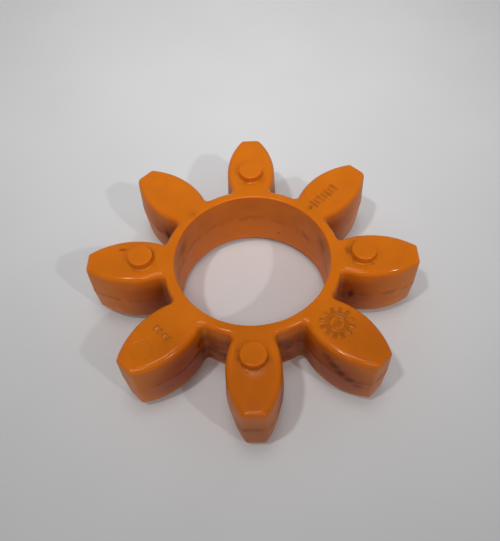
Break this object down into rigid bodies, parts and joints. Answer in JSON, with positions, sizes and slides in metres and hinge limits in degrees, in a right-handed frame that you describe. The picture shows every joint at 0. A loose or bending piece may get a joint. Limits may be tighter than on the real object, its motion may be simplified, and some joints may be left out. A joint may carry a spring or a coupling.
{
  "type": "jaw coupling insert",
  "caption": "Toothed polyurethane ring that sits between the two hubs of a jaw coupling: crowned radial teeth take the torque, and small buttons on alternate faces space the hubs.",
  "frame": {"origin": "on the axis of the bore, halfway between the two flat faces of the body", "axes": "+Z along the bore; +X along the middle of a tooth that has its button on the upper (+Z) face; +Y along the middle of the next such tooth"},
  "size_m": [0.095, 0.095, 0.025],
  "materials": {
    "polyurethane": "satin"
  },
  "bodies": {
    "root": {"spider": "polyurethane"}
  },
  "joints": []
}
